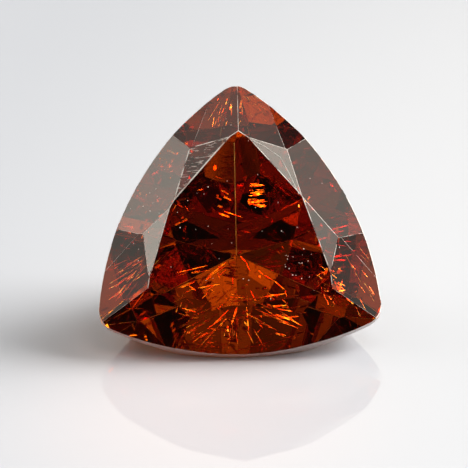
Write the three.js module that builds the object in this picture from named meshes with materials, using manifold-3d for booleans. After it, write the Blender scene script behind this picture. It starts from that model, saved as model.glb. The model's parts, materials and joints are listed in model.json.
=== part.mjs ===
// A cut sphalerite gemstone: a triangular brilliant with bulging sides, a low crown of 22 facets,
// a thin frosted girdle, and a deep pavilion whose three main facets meet at a pointed culet.
// It lies on one main pavilion facet, so the table faces forward and up.
// Millimetres, +Z up, front towards -Y. The origin is under the middle of the stone, on the surface.
// The stone is cut upright, with the table up and the girdle's upper edge at Z = 0, then laid down.

import * as THREE from 'three';
import { mergeVertices } from 'three/addons/utils/BufferGeometryUtils.js';
import Module from 'manifold-3d';

const wasm = await Module();
wasm.setup();

// Girdle outline: three side arcs, and a small arc round each of the three corners.
const SIDE_REACH = 4.95;        // axis to the middle of a side
const SIDE_RADIUS = 13.2;       // radius of a side's arc
const CORNER_RADIUS = 0.88;
const SIDE_STEPS = 24;          // flats along a side
const CORNER_STEPS = 8;         // flats round a corner
const LENGTHENED = 1.03;        // the outline is a little longer towards the top corner

// Heights above the girdle's upper edge
const TABLE_HEIGHT = 0.81;
const GIRDLE_THICKNESS = 0.47;
const BLANK_DEPTH = 9;          // the uncut block reaches below the culet

// The middle of each side, as degrees round the axis from +X
const SIDES = { right: 30, left: 150, front: 270 };

// Crown facets: degrees off the middle of the side, slope from the girdle plane in degrees,
// and distance from the centre of the girdle plane, square to the facet.
// Every facet but the main one comes once towards each end of the side.
const CROWN = {
  main: { turn: 0, slope: 24.5, distance: 2.05 },
  star: { turn: 11.6, slope: 14.0, distance: 1.54 },
  corner: { turn: 24.9, slope: 22.6, distance: 2.17 },
  rim: { turn: 21.4, slope: 24.4, distance: 2.27 },
};

// The crown was cut by hand, so some facets are a little off that pattern: what is added to their
// turn, slope and distance. Turns are counter-clockwise. Hand 1 is a side's counter-clockwise
// half, -1 its other half, and 0 its middle.
const HAND_CUT = [
  { side: 'left', hand: -1, facets: ['corner', 'rim'], turn: -1.8, slope: 0, distance: 0 },
  { side: 'left', hand: -1, facets: ['star'], turn: 0, slope: 0.4, distance: 0 },
  { side: 'left', hand: 0, facets: ['main'], turn: 0, slope: 0.6, distance: 0 },
  { side: 'left', hand: 1, facets: ['corner', 'rim'], turn: -2.9, slope: 0.8, distance: -0.03 },
  { side: 'left', hand: 1, facets: ['star'], turn: 1.9, slope: 1.6, distance: 0.08 },
  { side: 'right', hand: 0, facets: ['main'], turn: -1.4, slope: 0, distance: 0 },
  { side: 'right', hand: 1, facets: ['corner', 'rim'], turn: 0, slope: 0.5, distance: 0.04 },
  { side: 'right', hand: 1, facets: ['star'], turn: -1.2, slope: 0, distance: 0 },
  { side: 'front', hand: -1, facets: ['corner', 'rim'], turn: 2.1, slope: 0, distance: -0.04 },
  { side: 'front', hand: 0, facets: ['main'], turn: 0, slope: 0.6, distance: 0 },
  { side: 'front', hand: 1, facets: ['corner', 'rim'], turn: -1.8, slope: 0, distance: 0.04 },
  { side: 'front', hand: 1, facets: ['star'], turn: -4, slope: 0, distance: 0 },
];

// Pavilion facets: three main ones that meet at the culet, and two steeper pairs per side that
// round its ends. The reach is from the axis, at the girdle's lower edge.
const PAVILION_MAIN = {
  right: { turn: 0, slope: 46.8 },
  left: { turn: 0.8, slope: 47.8 },
  front: { turn: 0, slope: 48.3 },
};
const PAVILION_PAIRS = {
  inner: { turn: 23.4, slope: 57.4, reach: 5.57 },
  outer: { turn: 36, slope: 61.3, reach: 6.21 },
};

const CUTTER = 40;              // edge of the block that cuts a facet

function radians(degrees) {
  return THREE.MathUtils.degToRad(degrees);
}

// A closed solid from a three.js geometry, with its shared corners merged.
function solidOf(geometry) {
  const bare = geometry.clone();
  bare.deleteAttribute('normal');
  bare.deleteAttribute('uv');
  const merged = mergeVertices(bare, 1e-6);
  return new wasm.Manifold(new wasm.Mesh({
    numProp: 3,
    vertProperties: new Float32Array(merged.attributes.position.array),
    triVerts: new Uint32Array(merged.index.array),
  }));
}

// The girdle outline, counter-clockwise.
// A side's arc is centred past the axis, and a corner's arc touches both of its sides.
function girdleOutline() {
  const sideCentre = SIDE_RADIUS - SIDE_REACH;
  const across = sideCentre * Math.sin(radians(60));
  const along = Math.sqrt((SIDE_RADIUS - CORNER_RADIUS) ** 2 - across ** 2);
  const cornerCentre = along - sideCentre * Math.cos(radians(60));
  const halfSide = 60 - THREE.MathUtils.radToDeg(Math.atan2(across, along));
  const points = [];
  for (const middle of Object.values(SIDES)) {
    for (let i = 0; i < SIDE_STEPS; i += 1) {
      const angle = radians(middle - halfSide + (2 * halfSide * i) / SIDE_STEPS);
      points.push(new THREE.Vector2(
        -sideCentre * Math.cos(radians(middle)) + SIDE_RADIUS * Math.cos(angle),
        -sideCentre * Math.sin(radians(middle)) + SIDE_RADIUS * Math.sin(angle),
      ));
    }
    for (let i = 0; i < CORNER_STEPS; i += 1) {
      const spread = 120 - 2 * halfSide;
      const angle = radians(middle + halfSide + (spread * i) / CORNER_STEPS);
      points.push(new THREE.Vector2(
        cornerCentre * Math.cos(radians(middle + 60)) + CORNER_RADIUS * Math.cos(angle),
        cornerCentre * Math.sin(radians(middle + 60)) + CORNER_RADIUS * Math.sin(angle),
      ));
    }
  }
  return points;
}

// The block that a facet cuts away: everything past a plane whose normal is given.
function beyond(normal, distance) {
  const box = new THREE.BoxGeometry(CUTTER, CUTTER, CUTTER);
  box.translate(0, 0, CUTTER / 2 + distance);
  const turned = new THREE.Quaternion().setFromUnitVectors(new THREE.Vector3(0, 0, 1), normal);
  box.applyQuaternion(turned);
  return solidOf(box);
}

function facetNormal(azimuth, slope, upward) {
  const flat = Math.sin(radians(slope));
  return new THREE.Vector3(
    flat * Math.cos(radians(azimuth)),
    flat * Math.sin(radians(azimuth)),
    upward ? Math.cos(radians(slope)) : -Math.cos(radians(slope)),
  );
}

function cutCrown(stone) {
  let cut = stone;
  for (const [side, middle] of Object.entries(SIDES)) {
    for (const [name, facet] of Object.entries(CROWN)) {
      const hands = name === 'main' ? [0] : [-1, 1];
      for (const hand of hands) {
        const added = HAND_CUT.find(
          (row) => row.side === side && row.hand === hand && row.facets.includes(name),
        ) ?? { turn: 0, slope: 0, distance: 0 };
        const azimuth = middle + hand * facet.turn + added.turn;
        const normal = facetNormal(azimuth, facet.slope + added.slope, true);
        cut = cut.subtract(beyond(normal, facet.distance + added.distance));
      }
    }
  }
  return cut;
}

// A pavilion facet whose upper edge lies the given reach off the axis, at the girdle's lower edge.
function cutBelow(stone, azimuth, slope, reach) {
  const distance = reach * Math.sin(radians(slope))
    + GIRDLE_THICKNESS * Math.cos(radians(slope));
  return stone.subtract(beyond(facetNormal(azimuth, slope, false), distance));
}

function cutPavilion(stone) {
  let cut = stone;
  for (const [side, middle] of Object.entries(SIDES)) {
    const main = PAVILION_MAIN[side];
    cut = cutBelow(cut, middle + main.turn, main.slope, SIDE_REACH);
    for (const { turn, slope, reach } of Object.values(PAVILION_PAIRS)) {
      for (const hand of [-1, 1]) {
        cut = cutBelow(cut, middle + hand * turn, slope, reach);
      }
    }
  }
  return cut;
}

function makeStone() {
  const block = new THREE.ExtrudeGeometry(new THREE.Shape(girdleOutline()), {
    depth: BLANK_DEPTH + TABLE_HEIGHT,
    bevelEnabled: false,
    steps: 1,
  });
  block.translate(0, 0, -BLANK_DEPTH);
  const cut = cutPavilion(cutCrown(solidOf(block)));
  const mesh = cut.getMesh();
  const geometry = new THREE.BufferGeometry();
  geometry.setAttribute('position', new THREE.BufferAttribute(new Float32Array(mesh.vertProperties), 3));
  geometry.setIndex(new THREE.BufferAttribute(new Uint32Array(mesh.triVerts), 1));
  geometry.scale(1, LENGTHENED, 1);
  return geometry;
}

// The stone is turned until its front main pavilion facet lies flat, and stood on the surface.
function layDown(geometry) {
  const slope = Math.atan(Math.tan(radians(PAVILION_MAIN.front.slope)) / LENGTHENED);
  geometry.rotateX(slope);
  geometry.computeBoundingBox();
  const box = geometry.boundingBox;
  geometry.translate(-(box.min.x + box.max.x) / 2, -(box.min.y + box.max.y) / 2, -box.min.z);
}

const stone = makeStone();
layDown(stone);
stone.computeVertexNormals();

const material = new THREE.MeshStandardMaterial({
  color: 0x8a2c0c,
  roughness: 0.05,
  metalness: 0,
  flatShading: true,
});
const mesh = new THREE.Mesh(stone, material);
mesh.name = 'cut_stone';

const group = new THREE.Group();
group.add(mesh);

export default group;
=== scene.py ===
# A cut sphalerite, a triangular brilliant, lying on one pavilion facet on a glossy pale floor.
# Metres, +Z up, the front towards -Y. The origin is on the floor, under the middle of the stone.
import json
import math
import random

import bmesh
import bpy
from mathutils import Matrix, Vector
from mathutils.bvhtree import BVHTree


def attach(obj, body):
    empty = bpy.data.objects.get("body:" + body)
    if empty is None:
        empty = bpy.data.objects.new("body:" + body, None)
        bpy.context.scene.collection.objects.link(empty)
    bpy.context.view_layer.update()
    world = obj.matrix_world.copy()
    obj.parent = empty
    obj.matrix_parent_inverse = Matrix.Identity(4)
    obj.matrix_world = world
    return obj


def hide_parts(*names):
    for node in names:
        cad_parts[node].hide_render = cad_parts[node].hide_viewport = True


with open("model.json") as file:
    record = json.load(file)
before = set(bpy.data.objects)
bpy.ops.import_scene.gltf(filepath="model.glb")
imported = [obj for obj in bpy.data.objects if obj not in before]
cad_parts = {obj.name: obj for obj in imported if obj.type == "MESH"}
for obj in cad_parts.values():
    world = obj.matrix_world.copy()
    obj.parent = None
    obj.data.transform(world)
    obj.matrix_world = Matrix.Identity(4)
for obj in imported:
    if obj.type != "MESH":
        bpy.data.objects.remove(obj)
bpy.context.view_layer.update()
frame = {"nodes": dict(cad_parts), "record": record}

MM = 0.001

# The stone's own frame
GIRDLE_CENTRE = Vector((0.0, -1.135, 4.074)) * MM   # on the axis, at the girdle's upper edge
TABLE_MOUNT = next(m for m in frame["record"]["mounts"] if m["name"] == "table")
AXIS = Vector(TABLE_MOUNT["axis"]).normalized()   # square to the table, out of the crown

# The camera looks at the stone as the photo does: 18 degrees below the table's normal.
VIEW_BELOW_AXIS = 17.9          # degrees
CAMERA_DISTANCE = 144 * MM
CAMERA_ROLL = 0.022             # radians
FRAME_PIXELS = 468
STONE_PIXELS = 281              # width of the stone in the photo
STONE_WIDTH = 12 * MM
CENTRE_PIXEL = (238.4, 239.2)   # where the girdle's centre is in the photo
SENSOR = 36.0                   # mm
CLIP = (10 * MM, 4)             # nearest and farthest that the camera sees

# Degrees. Faces that differ by less than the first are one facet, and an edge between facets that
# differ by less than the second doesn't wear.
FLAT_ANGLE = 0.3
EDGE_ANGLE = 2.0
MERGE_DISTANCE = 1e-4           # mm, corners closer than this are one
CUT_TOLERANCE = 1e-5            # mm

# Kinds of facet, and the slope from the girdle plane, in degrees, that each stays below. The rest
# are "main".
FACET_SLOPES = (("table", 1), ("star", 19), ("crown", 80), ("girdle", 100), ("pair", 128))
# Azimuths in degrees, counter-clockwise from +X as seen from above the table
SCRATCHED_STAR = (130, 147)     # the star facet at the upper left
SHARP_FRONT = (225, 315)        # edges at the front of the crown, which are still sharp
TOP_RIDGE = (80, 100)           # the edge up to the top corner
TOP_RIDGE_SLOPE = 15            # degrees, it is steeper than this
CROWN_EDGE_SLOPE = 60           # degrees, the crown's edges are flatter than this
# Edges are worn to narrow flats. Their width in mm, by the kinds of facet on both sides:
WORN_WIDTH = {
    frozenset(("table", "scratched star")): 0.06,
    frozenset(("scratched star", "crown")): 0.05,
    frozenset(("table", "star")): 0.04,
    frozenset(("table", "crown")): 0.035,
    frozenset(("star", "crown")): 0.02,
    frozenset(("crown",)): 0.009,
    frozenset(("crown", "girdle")): 0.035,
    frozenset(("main",)): 0.03,
    frozenset(("main", "pair")): 0.02,
    frozenset(("pair",)): 0.015,
    frozenset(("pair", "girdle")): 0.03,
    frozenset(("main", "girdle")): 0.03,
}
TOP_RIDGE_WEAR = 2              # the top ridge is worn this many times as wide
CROWN_CLOUD = 1.0               # how white a worn edge is, at the crown and under it
PAVILION_CLOUD = 0.4

# Absorption of the orange-red stone, per metre for red, green and blue
ABSORPTION = (58.0, 212.0, 600.0)
DENSITY_MARGIN = 1.02           # the volume's density is a little over the largest absorption
SPHALERITE_IOR = 2.37
STONE_COLOUR = (0.96, 0.95, 0.94, 1)

# Chips along the worn edges, and scratches on one star facet: cells of their noise per metre, and
# the part of it that fades them in
CHIP_CELLS = (1400, 1400, 1400)
CHIP_RANGE = (0.36, 0.54)
SCRATCH_CELLS = (600, 14000, 14000)
SCRATCH_RANGE = (0.55, 0.68)
SCRATCH_STRENGTH = 0.5          # beside a worn edge
MARK_GAIN = 3                   # a mark this many times weaker than the strongest is fully dull
DULL_ROUGHNESS = 0.45
MARK_CLOUD = 0.9                # how opaque chips and scratches are, and the frosted girdle
FROST_CLOUD = 0.35


def link(obj):
    bpy.context.scene.collection.objects.link(obj)
    return obj


def node(tree, kind, **settings):
    made = tree.nodes.new(kind)
    for name, value in settings.items():
        setattr(made, name, value)
    return made


def math_node(tree, operation, first, second=None):
    made = node(tree, "ShaderNodeMath", operation=operation)
    for socket, value in zip(made.inputs, (first, second)):
        if value is None:
            continue
        if isinstance(value, (int, float)):
            socket.default_value = value
        else:
            tree.links.new(value, socket)
    return made.outputs[0]


def attribute(tree, name):
    return node(tree, "ShaderNodeAttribute", attribute_name=name).outputs["Fac"]


def noise(tree, place, cells, detail):
    """Noise over a place, with its cells per metre along each axis."""
    stretch = node(tree, "ShaderNodeMapping")
    stretch.inputs["Scale"].default_value = cells
    tree.links.new(place, stretch.inputs["Vector"])
    made = node(tree, "ShaderNodeTexNoise")
    made.inputs["Scale"].default_value = 1
    made.inputs["Detail"].default_value = detail
    tree.links.new(stretch.outputs["Vector"], made.inputs["Vector"])
    return made.outputs["Fac"]


def smooth_range(tree, value, low, high, top=1):
    """A smooth rise from 0 to the top while the value goes from low to high."""
    made = node(tree, "ShaderNodeMapRange", interpolation_type="SMOOTHSTEP")
    tree.links.new(value, made.inputs["Value"])
    for name, number in (("From Min", low), ("From Max", high), ("To Min", 0), ("To Max", top)):
        made.inputs[name].default_value = number
    return made.outputs["Result"]


# The stone
def facet_place(normal):
    """Azimuth from +X round the axis, and slope from the girdle plane, both in degrees."""
    up = AXIS.cross(Vector((1, 0, 0)))
    azimuth = math.degrees(math.atan2(normal.dot(up), normal.x)) % 360
    return azimuth, math.degrees(math.acos(max(-1.0, min(1.0, normal.dot(AXIS)))))


def between(value, limits):
    return limits[0] < value < limits[1]


def facet_kind(face):
    azimuth, slope = facet_place(face.normal)
    kind = next((name for name, below in FACET_SLOPES if slope < below), "main")
    if kind == "star" and between(azimuth, SCRATCHED_STAR):
        return "scratched star"
    return kind


def wear_here(normal):
    """How much an edge is worn for its place, given a normal halfway between its facets'."""
    azimuth, slope = facet_place(normal)
    if slope > CROWN_EDGE_SLOPE:
        return 1
    if between(azimuth, SHARP_FRONT):
        return 0
    if between(azimuth, TOP_RIDGE) and slope > TOP_RIDGE_SLOPE:
        return TOP_RIDGE_WEAR
    return 1


def worn_flats(mesh):
    """The planes that wear the edges off, as a point and an outward normal each."""
    flats = []
    for edge in mesh.edges:
        width = WORN_WIDTH.get(frozenset(facet_kind(face) for face in edge.link_faces), 0)
        angle = edge.calc_face_angle(0)
        normal = (edge.link_faces[0].normal + edge.link_faces[1].normal).normalized()
        depth = width * wear_here(normal) / 2 * math.tan(angle / 2)
        if depth > 0 and angle > math.radians(EDGE_ANGLE):
            flats.append((edge.verts[0].co - normal * depth, normal))
    return flats


def wear_off(mesh, point, normal, worn):
    """Cut off what is past the plane, and close the stone with one worn face."""
    everything = mesh.verts[:] + mesh.edges[:] + mesh.faces[:]
    cut = bmesh.ops.bisect_plane(
        mesh, geom=everything, dist=CUT_TOLERANCE, plane_co=point, plane_no=normal,
        clear_outer=True)
    rim = [part for part in cut["geom_cut"] if isinstance(part, bmesh.types.BMEdge)]
    if rim:
        cloud = CROWN_CLOUD if normal.dot(AXIS) > 0 else PAVILION_CLOUD
        for face in bmesh.ops.edgeloop_fill(mesh, edges=rim)["faces"]:
            face[worn] = cloud


def dressed_stone():
    """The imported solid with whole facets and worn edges. It is worked on in millimetres."""
    mesh = bmesh.new()
    mesh.from_mesh(frame["nodes"]["cut_stone"].data)
    bmesh.ops.scale(mesh, vec=(1 / MM,) * 3, verts=mesh.verts)
    bmesh.ops.remove_doubles(mesh, verts=mesh.verts, dist=MERGE_DISTANCE)
    bmesh.ops.dissolve_limit(
        mesh, angle_limit=math.radians(FLAT_ANGLE), verts=mesh.verts, edges=mesh.edges)
    frost = mesh.faces.layers.float.new("frost")
    scratched = mesh.faces.layers.float.new("scratched")
    worn = mesh.faces.layers.float.new("worn")
    for face in mesh.faces:
        kind = facet_kind(face)
        face[frost] = float(kind == "girdle")
        face[scratched] = float(kind == "scratched star")
    for point, normal in worn_flats(mesh):
        wear_off(mesh, point, normal, worn)
    bmesh.ops.recalc_face_normals(mesh, faces=mesh.faces)
    bmesh.ops.triangulate(mesh, faces=mesh.faces)
    bmesh.ops.scale(mesh, vec=(MM,) * 3, verts=mesh.verts)
    data = bpy.data.meshes.new("stone")
    mesh.to_mesh(data)
    mesh.free()
    stone = link(bpy.data.objects.new("stone", data))
    data.materials.append(stone_material())
    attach(stone, "root")
    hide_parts("cut_stone")
    return stone


def stone_material():
    material = bpy.data.materials.new("sphalerite")
    material.use_nodes = True
    tree = material.node_tree
    tree.nodes.clear()
    output = node(tree, "ShaderNodeOutputMaterial")
    shader = node(tree, "ShaderNodeBsdfPrincipled")
    shader.inputs["Base Color"].default_value = STONE_COLOUR
    shader.inputs["IOR"].default_value = SPHALERITE_IOR
    frost = attribute(tree, "frost")
    place = node(tree, "ShaderNodeTexCoord").outputs["Object"]
    chips = smooth_range(tree, noise(tree, place, CHIP_CELLS, 3), *CHIP_RANGE)
    wear = math_node(tree, "MULTIPLY", attribute(tree, "worn"), chips)
    lines = smooth_range(tree, noise(tree, place, SCRATCH_CELLS, 2), *SCRATCH_RANGE)
    scratches = math_node(tree, "MULTIPLY", attribute(tree, "scratched"), lines)
    marks = math_node(
        tree, "MAXIMUM", wear, math_node(tree, "MULTIPLY", scratches, SCRATCH_STRENGTH))
    rough = math_node(tree, "MINIMUM", math_node(tree, "MULTIPLY", marks, MARK_GAIN), 1)
    dull = math_node(tree, "MAXIMUM", frost, rough)
    tree.links.new(math_node(tree, "MULTIPLY", dull, DULL_ROUGHNESS), shader.inputs["Roughness"])
    cloudy = math_node(tree, "MAXIMUM", math_node(tree, "MULTIPLY", frost, FROST_CLOUD),
                       math_node(tree, "MULTIPLY", marks, MARK_CLOUD))
    tree.links.new(math_node(tree, "SUBTRACT", 1.0, cloudy), shader.inputs["Transmission Weight"])
    tree.links.new(shader.outputs["BSDF"], output.inputs["Surface"])
    volume = node(tree, "ShaderNodeVolumeAbsorption")
    density = max(ABSORPTION) * DENSITY_MARGIN
    volume.inputs["Color"].default_value = (*(1 - a / density for a in ABSORPTION), 1)
    volume.inputs["Density"].default_value = density
    tree.links.new(volume.outputs["Volume"], output.inputs["Volume"])
    return material


# Floor and light
FLOOR_SIZE = 1.2
FLOOR_DROP = 2e-5               # the floor is a hair below the stone
FLOOR_COLOUR = (0.60, 0.652, 0.768, 1)   # pale grey under the warm light
FLOOR_ROUGHNESS = 0.02


def make_floor():
    data = bpy.data.meshes.new("floor")
    half = FLOOR_SIZE / 2
    corners = [(-half, -half, -FLOOR_DROP), (half, -half, -FLOOR_DROP),
               (half, half, -FLOOR_DROP), (-half, half, -FLOOR_DROP)]
    data.from_pydata(corners, [], [(0, 1, 2, 3)])
    floor = link(bpy.data.objects.new("floor", data))
    material = bpy.data.materials.new("pale floor")
    material.use_nodes = True
    shader = material.node_tree.nodes["Principled BSDF"]
    shader.inputs["Base Color"].default_value = FLOOR_COLOUR
    shader.inputs["Roughness"].default_value = FLOOR_ROUGHNESS
    data.materials.append(material)


# Soft lights: azimuth (0 towards the camera, + to the right), elevation and radius in degrees, and
# brightness
LIGHTS = (
    ("key, low at the right", 108, 27, 22, 18.5),
    ("above the key", 120, 42, 17, 9.5),
    ("edge light, far right", 88, 12, 10, 15),
    ("back left", -120, 42, 17, 3.2),
    ("low left", -108, 8, 24, 2.3),
    ("back", 172, 30, 14, 1.4),
    ("right", 72, 27, 22, 0.6),
    ("front left", -30, 42, 17, 0.5),
    ("front right", 30, 42, 17, 0.75),
    ("upper right", 90, 57, 16, 0.7),
    ("upper right, narrow", 55, 57, 9, 0.7),
    ("upper left, narrow", -54, 56, 9, 2.2),
    ("left, narrow", -93, 55, 9, 1.3),
    ("lower left, narrow", -82, 43, 9, 0.4),
    ("high left", -45, 72, 17, 0.5),
    ("high right", 45, 72, 17, 1.3),
    ("high, far right", 90, 72, 17, 0.8),
    ("high, back left", -135, 72, 17, 0.4),
    ("top", 0, 89, 18, 0.8),
)
AMBIENT = 0.006
LIGHT_COLOUR = (1, 0.93, 0.81, 1)
FULL_PART = 4                   # a light is full out to its radius divided by this, then fades

# A lamp for the orange light that the stone throws on the floor in front of it
GLOW_PLACE = (-2 * MM, -9.5 * MM, 14 * MM)
GLOW_WATTS = 0.0014
GLOW_COLOUR = (1, 0.22, 0.02)
GLOW_ANGLE = 75                 # degrees, all of its cone
GLOW_RADIUS = 3 * MM


def direction(azimuth, elevation):
    turn, rise = math.radians(azimuth), math.radians(elevation)
    return Vector((math.sin(turn) * math.cos(rise), -math.cos(turn) * math.cos(rise),
                   math.sin(rise)))


def fade(radius):
    """Cosines of the angles from a light's middle at which it is out, and at which it is full."""
    return math.cos(math.radians(radius)), math.cos(math.radians(radius / FULL_PART))


def make_world():
    world = bpy.data.worlds.new("studio")
    bpy.context.scene.world = world
    world.use_nodes = True
    tree = world.node_tree
    tree.nodes.clear()
    where = node(tree, "ShaderNodeTexCoord").outputs["Generated"]

    def along(vector):
        dot = node(tree, "ShaderNodeVectorMath", operation="DOT_PRODUCT")
        tree.links.new(where, dot.inputs[0])
        dot.inputs[1].default_value = vector
        return dot.outputs["Value"]

    light = AMBIENT
    for _, azimuth, elevation, radius, brightness in LIGHTS:
        spot = smooth_range(
            tree, along(direction(azimuth, elevation)), *fade(radius), brightness)
        light = math_node(tree, "ADD", spot, light)
    background = node(tree, "ShaderNodeBackground")
    background.inputs["Color"].default_value = LIGHT_COLOUR
    tree.links.new(light, background.inputs["Strength"])
    tree.links.new(background.outputs[0], node(tree, "ShaderNodeOutputWorld").inputs["Surface"])


def make_glow():
    """The lamp lights what is matt. It is seen neither directly, mirrored nor through the stone."""
    data = bpy.data.lights.new("glow", "SPOT")
    data.energy = GLOW_WATTS
    data.color = GLOW_COLOUR
    data.spot_size = math.radians(GLOW_ANGLE)
    data.spot_blend = 1
    data.shadow_soft_size = GLOW_RADIUS
    glow = link(bpy.data.objects.new("glow", data))
    glow.location = GLOW_PLACE
    glow.visible_camera = False
    glow.visible_glossy = False
    glow.visible_transmission = False


def make_camera():
    axis_rise = math.degrees(math.asin(AXIS.z))
    elevation = axis_rise - VIEW_BELOW_AXIS
    back = direction(0, elevation)
    right = Vector((1, 0, 0))
    up = back.cross(right)
    cos_roll, sin_roll = math.cos(CAMERA_ROLL), math.sin(CAMERA_ROLL)
    rolled_right = right * cos_roll - up * sin_roll
    rolled_up = right * sin_roll + up * cos_roll
    pixel = STONE_WIDTH / STONE_PIXELS
    aim = (GIRDLE_CENTRE
           + rolled_right * (FRAME_PIXELS / 2 - CENTRE_PIXEL[0]) * pixel
           - rolled_up * (FRAME_PIXELS / 2 - CENTRE_PIXEL[1]) * pixel)
    eye = GIRDLE_CENTRE + back * CAMERA_DISTANCE
    look = (aim - eye).normalized()
    side = look.cross(rolled_up).normalized()
    data = bpy.data.cameras.new("camera")
    data.sensor_width = SENSOR
    data.lens = SENSOR * CAMERA_DISTANCE / (FRAME_PIXELS * pixel)
    data.clip_start, data.clip_end = CLIP
    camera = link(bpy.data.objects.new("camera", data))
    turned = Matrix((side, side.cross(look), -look)).transposed()
    camera.matrix_world = Matrix.Translation(eye) @ turned.to_4x4()
    bpy.context.scene.camera = camera


# Small marks, placed where the photo shows them

# Fine bright fissures near the facet that the stone lies on: pixels of the photo along each one
FISSURE_PIXELS = (
    ((212, 266), (216, 269), (220, 279), (222, 289), (228, 298), (232, 303)),
    ((220, 275), (226, 270), (234, 267)),
    ((240, 256), (246, 262), (250, 271)),
    ((258, 270), (264, 275), (274, 281), (285, 290), (287, 298)),
    ((239, 303), (244, 296), (250, 289), (256, 302)),
    ((233, 277), (232, 290), (233, 302)),
    ((180, 283), (196, 276), (206, 270)),
    ((182, 288), (195, 281)),
    ((186, 293), (204, 284)),
)
FISSURE_HALF_WIDTH = 0.026      # mm
FISSURE_DEPTH = 0.80            # part of the way through the stone
FISSURE_GLINT = 4               # how bright the light is that they mirror

# Splinters inside: the pixels at both ends of each one, half its width in mm, how deep it lies as a
# part of the way through the stone, and how bright the light is that it mirrors
SPLINTERS = (
    ((175, 225), (188, 219), 0.050, 0.85, 1.5),
    ((172, 212), (181, 198), 0.012, 0.70, 4),
    ((181, 198), (190, 213), 0.012, 0.70, 4),
    ((256, 272), (260, 278), 0.050, 0.70, 4),
    ((333, 279), (338, 290), 0.024, 0.60, 4),
    ((338, 282), (345, 286), 0.030, 0.60, 4),
    ((336, 291), (345, 290), 0.024, 0.60, 4),
    ((115, 296), (137, 270), 0.014, 0.50, 4),
    ((122, 290), (134, 276), 0.020, 0.50, 4),
    ((108, 300), (140, 284), 0.012, 0.50, 4),
    ((119, 227), (130, 226), 0.020, 0.50, 4),
    ((110, 250), (121, 262), 0.014, 0.50, 4),
    ((355, 262), (368, 278), 0.014, 0.50, 4),
    ((346, 298), (366, 310), 0.014, 0.50, 4),
    ((206, 305), (180, 315), 0.034, 0.78, 3),
    ((226, 308), (190, 331), 0.024, 0.78, 3),
    ((197, 309), (206, 304), 0.040, 0.78, 4),
    ((224, 316), (207, 327), 0.060, 0.78, 3),
    ((228, 318), (213, 342), 0.030, 0.78, 3),
    ((237, 326), (239, 341), 0.018, 0.78, 4),
    ((222, 346), (229, 341), 0.020, 0.60, 4),
    ((257, 333), (267, 324), 0.020, 0.78, 4),
    ((263, 327), (286, 336), 0.060, 0.78, 3),
    ((266, 304), (300, 316), 0.034, 0.78, 3),
    ((250, 320), (262, 344), 0.010, 0.78, 4),
    ((222, 113), (228, 97), 0.012, 0.60, 4),
    ((212, 128), (219, 104), 0.018, 0.60, 4),
    ((258, 108), (270, 118), 0.016, 0.60, 4),
    ((168, 150), (178, 156), 0.050, 0.50, 4),
    ((196, 128), (199, 136), 0.024, 0.50, 4),
    ((302, 200), (309, 203), 0.036, 0.50, 4),
    ((318, 198), (323, 202), 0.040, 0.50, 4),
)

# Bundles of fine streaks: left, top, right and bottom pixel of each, the pixel that its streaks point
# to, how many there are, their length in pixels, half their width in mm, how deep they lie, and how
# bright the light is that they mirror
STREAKS = (
    ((247, 183, 259, 207), (400, 190), 70, 7, 0.020, 0.80, 8),
    ((216, 188, 226, 214), (300, 240), 12, 7, 0.022, 0.75, 3),
    ((106, 264, 138, 310), (180, 236), 36, 18, 0.018, 0.50, 4),
    ((324, 268, 346, 292), (300, 240), 18, 9, 0.016, 0.60, 4),
    ((350, 256, 375, 304), (320, 210), 14, 14, 0.012, 0.50, 3),
    ((206, 92, 232, 128), (240, 60), 44, 12, 0.015, 0.60, 2.5),
    ((176, 272, 214, 302), (244, 258), 40, 14, 0.022, 0.76, 6),
    ((246, 94, 276, 124), (228, 76), 20, 11, 0.012, 0.60, 2),
    ((172, 308, 232, 346), (244, 302), 64, 20, 0.023, 0.72, 5),
    ((240, 312, 304, 346), (232, 300), 54, 20, 0.023, 0.72, 5),
    ((222, 322, 252, 350), (238, 280), 24, 9, 0.014, 0.66, 5),
)
STREAK_SPREAD = 0.5             # how much their length, width and brightness vary
STREAK_SCATTER = 6              # pixels, how far they point past their target
STREAK_DEPTHS = (0.8, 1.1)      # their depth is multiplied by a number between these

ENTRY = 0.1                     # mm, a ray goes this far in before its way through is measured
INCLUSION_MARGIN = 0.05 * MM    # what lies nearer to the surface is left out
RAGGED = (0.5, 1.2)             # how far a splinter's corners stand out, in half widths
RAGGED_PLACES = (0.2, 0.5, 0.8)   # where they are along it
SPLINTER_BEND = 1.0             # pixels, how far their middle is bent aside at random
MIRROR_TRIES = 240              # directions tried to find one in which a splinter mirrors a light
MIRROR_MISS = 1.0               # how far its brightness may be off, as a natural logarithm
MIRROR_TURN = 0.28              # cosine of the least angle by which it turns the ray
FLOOR_BRIGHTNESS = 0.8          # of the floor, where a splinter mirrors it

# The tone of the inclusions, from dark to bright over this range of a noise with these cells per metre
INCLUSION_DARK = (0.78, 0.09, 0.02, 1)
INCLUSION_BRIGHT = (1.0, 0.74, 0.32, 1)
INCLUSION_RANGE = (0.465, 0.63)
INCLUSION_CELLS = (2500, 7000, 7000)
INCLUSION_ROUGHNESS = 0.15

FLAKE_COUNT = 50
FLAKE_SIZE = (0.05, 0.22)       # mm, half the length of a flake
FLAKE_THICKNESS = 0.008 * MM
FLAKE_DEPTH = (0.30, 0.90)      # part of the way through the stone
FLAKE_PIXELS = (140, 150, 340, 335)   # left, top, right and bottom of the area that holds them

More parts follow.
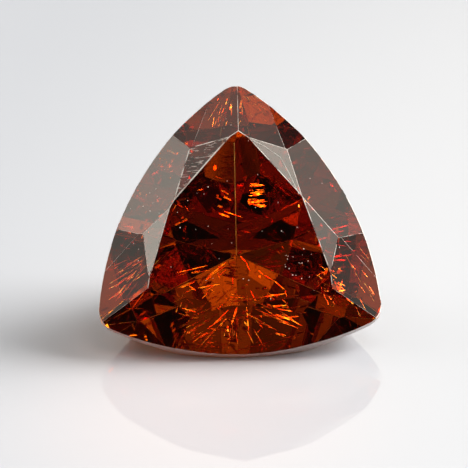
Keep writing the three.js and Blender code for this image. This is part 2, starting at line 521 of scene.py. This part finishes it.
# Dust on the crown: pixels of the single specks, and the box of the cluster at the lower right
DUST_PIXELS = (
    (156, 189), (157, 197), (150, 211), (150, 193), (171, 267), (204, 194), (197, 193), (228, 229),
    (262, 231), (283, 232), (220, 121), (226, 119), (231, 125), (224, 128), (153, 203), (208, 187),
)
SCUFF_PIXELS = ((252, 140), (264, 146), (280, 157), (288, 171), (299, 194))
SCUFF_RADIUS = 0.012 * MM
DUST_CLUSTER = (284, 253, 312, 280)
DUST_IN_CLUSTER = 16
DUST_SCATTERED = 40
DUST_AREA = (125, 130, 350, 300)
DUST_RADIUS = (0.013, 0.030)    # mm
DUST_NARROWEST = 0.6            # least width of a speck, beside its length
DUST_HEIGHT = 0.6               # beside its length
DUST_COLOUR = (0.95, 0.94, 0.92, 1)
DUST_ROUGHNESS = 0.9

RANDOM_SEED = 7


def view_ray(pixel):
    """The camera's place, and the direction of its ray through a pixel."""
    camera = bpy.context.scene.camera
    scale = SENSOR / (FRAME_PIXELS * camera.data.lens)
    across = (pixel[0] - FRAME_PIXELS / 2) * scale
    down = (pixel[1] - FRAME_PIXELS / 2) * scale
    aim = camera.matrix_world.to_3x3() @ Vector((across, -down, -1))
    return camera.matrix_world.translation, aim.normalized()


def refracted(ray, normal, ratio):
    cosine = -ray.dot(normal)
    bent = ratio * cosine - math.sqrt(1 - ratio ** 2 * (1 - cosine ** 2))
    return (ray * ratio + normal * bent).normalized()


def look_inside(surface, pixel):
    """Where the ray through a pixel enters the stone, and its direction inside."""
    eye, ray = view_ray(pixel)
    point, normal, _, _ = surface.ray_cast(eye, ray)
    if point is None:
        return None, None
    return point, refracted(ray, normal, 1 / SPHALERITE_IOR)


def inside_point(surface, pixel, depth):
    """The place inside the stone seen at a pixel, part of the way to its far side."""
    point, ray = look_inside(surface, pixel)
    if point is None:
        return None
    return point.lerp(surface.ray_cast(point + ray * ENTRY * MM, ray)[0], depth)


def add_tube(mesh, points, radius):
    """A closed thread with a square section."""
    rings = []
    for i, point in enumerate(points):
        along = points[min(i + 1, len(points) - 1)] - points[max(i - 1, 0)]
        side = along.cross(AXIS).normalized()
        over = along.cross(side).normalized()
        corners = ((side, over), (side * -1, over), (side * -1, over * -1), (side, over * -1))
        rings.append([mesh.verts.new(point + (a + b) * radius) for a, b in corners])
    for first, second in zip(rings, rings[1:]):
        for k in range(4):
            mesh.faces.new((first[k], first[k - 1], second[k - 1], second[k]))
    mesh.faces.new(rings[0])
    mesh.faces.new(rings[-1][::-1])


def brightness_towards(way):
    """How bright the studio is in a direction."""
    if way.z < 0:
        return FLOOR_BRIGHTNESS
    total = AMBIENT
    for _, azimuth, elevation, radius, brightness in LIGHTS:
        out, full = fade(radius)
        t = min(1, max(0, (way.dot(direction(azimuth, elevation)) - out) / (full - out)))
        total += brightness * t * t * (3 - 2 * t)
    return total


def mirror_between(surface, first, point, ray, wanted, rng):
    """A mirror that shows a light of about the wanted brightness, from a place inside the stone to
    one behind another point of its surface: that second place, and the mirror's tilt."""
    nearest, found = MIRROR_MISS, None
    for _ in range(MIRROR_TRIES):
        way = Vector([rng.gauss(0, 1) for _ in range(3)]).normalized()
        exit_point, normal, _, distance = surface.ray_cast(first, way)
        cosine = way.dot(normal) if exit_point else 0
        if SPHALERITE_IOR ** 2 * (1 - cosine ** 2) >= 1 or way.dot(ray) > MIRROR_TURN:
            continue
        tilt = (way - ray).normalized()
        second = point + ray * ((first - point).dot(tilt) / ray.dot(tilt))
        bright = brightness_towards(refracted(way, -normal, SPHALERITE_IOR))
        bright *= math.exp(-ABSORPTION[1] * distance)
        miss = abs(math.log(bright / wanted))
        if miss < nearest and well_inside(surface, (second,)):
            nearest, found = miss, (second, tilt)
    return found


def well_inside(surface, points):
    for point in points:
        nearest, normal, _, _ = surface.find_nearest(point)
        if (nearest - point).dot(normal) < INCLUSION_MARGIN:
            return False
    return True


def add_flake(mesh, surface, ends, half_width, tilt, rng):
    """A thin ragged splinter between two ends."""
    along = ends[1] - ends[0]
    across = along.cross(tilt).normalized() * half_width
    half = along.cross(across).normalized() * FLAKE_THICKNESS / 2
    outline = [ends[0]]
    outline += [ends[0] + along * t + across * rng.uniform(*RAGGED) for t in RAGGED_PLACES]
    outline += [ends[1]]
    outline += [ends[0] + along * t - across * rng.uniform(*RAGGED) for t in RAGGED_PLACES[::-1]]
    if not well_inside(surface, outline):
        return
    upper = [mesh.verts.new(corner + half) for corner in outline]
    lower = [mesh.verts.new(corner - half) for corner in outline]
    mesh.faces.new(upper)
    mesh.faces.new(lower[::-1])
    for k in range(len(outline)):
        mesh.faces.new((upper[k], upper[k - 1], lower[k - 1], lower[k]))


def finish_piece(mesh, name, material):
    bmesh.ops.recalc_face_normals(mesh, faces=mesh.faces)
    data = bpy.data.meshes.new(name)
    mesh.to_mesh(data)
    mesh.free()
    data.materials.append(material)
    piece = link(bpy.data.objects.new(name, data))
    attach(piece, "root")


def within(rng, area):
    """A random pixel in an area given by its left, top, right and bottom."""
    return rng.uniform(area[0], area[2]), rng.uniform(area[1], area[3])


def streak(rng, area, target, length, half_width, depth, glint):
    """One line of a bundle: its end pixels, half width, depth and glint."""
    start = Vector(within(rng, area))
    vary = [math.exp(rng.gauss(0, STREAK_SPREAD)) for _ in range(3)]
    aim = Vector([at + rng.gauss(0, STREAK_SCATTER) for at in target])
    end = start + (aim - start).normalized() * length * vary[0]
    depth *= rng.uniform(*STREAK_DEPTHS)
    return start, end, half_width * vary[1], depth, glint * vary[2]


def make_inclusions(surface):
    rng = random.Random(RANDOM_SEED)
    mesh = bmesh.new()
    lines = [(*ends, FISSURE_HALF_WIDTH, FISSURE_DEPTH, FISSURE_GLINT)
             for pixels in FISSURE_PIXELS for ends in zip(pixels, pixels[1:])]
    for start, end, *rest in SPLINTERS:
        bend = [(a + b) / 2 + rng.gauss(0, SPLINTER_BEND) for a, b in zip(start, end)]
        lines += [(start, bend, *rest), (bend, end, *rest)]
    for k, (area, target, count, *rest) in enumerate(STREAKS):
        rng.seed(RANDOM_SEED + k)
        lines += [streak(rng, area, target, *rest) for _ in range(count)]
    for k, (start, end, half_width, depth, glint) in enumerate(lines):
        rng.seed(RANDOM_SEED + k)
        first = inside_point(surface, start, depth)
        point, ray = look_inside(surface, end)
        if first is None or point is None:
            continue
        found = mirror_between(surface, first, point, ray, glint, rng)
        if found:
            add_flake(mesh, surface, (first, found[0]), half_width * MM, found[1], rng)
    for _ in range(FLAKE_COUNT):
        centre = inside_point(surface, within(rng, FLAKE_PIXELS), rng.uniform(*FLAKE_DEPTH))
        if centre is None:
            continue
        tilt, way = [Vector([rng.gauss(0, 1) for _ in range(3)]).normalized() for _ in range(2)]
        reach = way * rng.uniform(*FLAKE_SIZE) * MM
        add_flake(mesh, surface, (centre - reach, centre + reach), reach.length / 3, tilt, rng)
    finish_piece(mesh, "inclusions", inclusion_material())


def make_dust(surface):
    rng = random.Random(RANDOM_SEED)
    mesh = bmesh.new()
    pixels = list(DUST_PIXELS)
    pixels += [within(rng, DUST_CLUSTER) for _ in range(DUST_IN_CLUSTER)]
    pixels += [within(rng, DUST_AREA) for _ in range(DUST_SCATTERED)]
    for pixel in pixels:
        point, normal, _, _ = surface.ray_cast(*view_ray(pixel))
        if point is None:
            continue
        radius = rng.uniform(*DUST_RADIUS) * MM
        turn = normal.to_track_quat("Z", "X").to_matrix().to_4x4()
        width = radius * rng.uniform(DUST_NARROWEST, 1)
        flat = Matrix.Diagonal((radius, width, radius * DUST_HEIGHT, 1))
        bmesh.ops.create_icosphere(
            mesh, subdivisions=1, radius=1, matrix=Matrix.Translation(point) @ turn @ flat)
    add_tube(mesh, [surface.ray_cast(*view_ray(pixel))[0] for pixel in SCUFF_PIXELS], SCUFF_RADIUS)
    finish_piece(mesh, "dust", dust_material())


def inclusion_material():
    """Flat fissures and splinters mirror light like foil, with a streaky golden to red tone."""
    material = bpy.data.materials.new("inclusion")
    material.use_nodes = True
    tree = material.node_tree
    shader = tree.nodes["Principled BSDF"]
    place = node(tree, "ShaderNodeTexCoord").outputs["Object"]
    tone = node(tree, "ShaderNodeValToRGB")
    colours = (INCLUSION_DARK, INCLUSION_BRIGHT)
    for stop, position, colour in zip(tone.color_ramp.elements, INCLUSION_RANGE, colours):
        stop.position = position
        stop.color = colour
    tree.links.new(noise(tree, place, INCLUSION_CELLS, 2), tone.inputs["Fac"])
    tree.links.new(tone.outputs["Color"], shader.inputs["Base Color"])
    shader.inputs["Roughness"].default_value = INCLUSION_ROUGHNESS
    shader.inputs["Metallic"].default_value = 1.0
    return material


def dust_material():
    material = bpy.data.materials.new("dust")
    material.use_nodes = True
    shader = material.node_tree.nodes["Principled BSDF"]
    shader.inputs["Base Color"].default_value = DUST_COLOUR
    shader.inputs["Roughness"].default_value = DUST_ROUGHNESS
    return material


make_camera()
stone = dressed_stone()
surface = BVHTree.FromPolygons(
    [vert.co for vert in stone.data.vertices], [face.vertices for face in stone.data.polygons])
make_inclusions(surface)
make_dust(surface)
make_floor()
make_world()
make_glow()

# Light passes and mirrors at many facets before it leaves the stone.
scene = bpy.context.scene
scene.view_settings.view_transform = "Standard"
scene.cycles.max_bounces = 32
scene.cycles.glossy_bounces = 26
scene.cycles.transmission_bounces = 26
scene.cycles.diffuse_bounces = 4
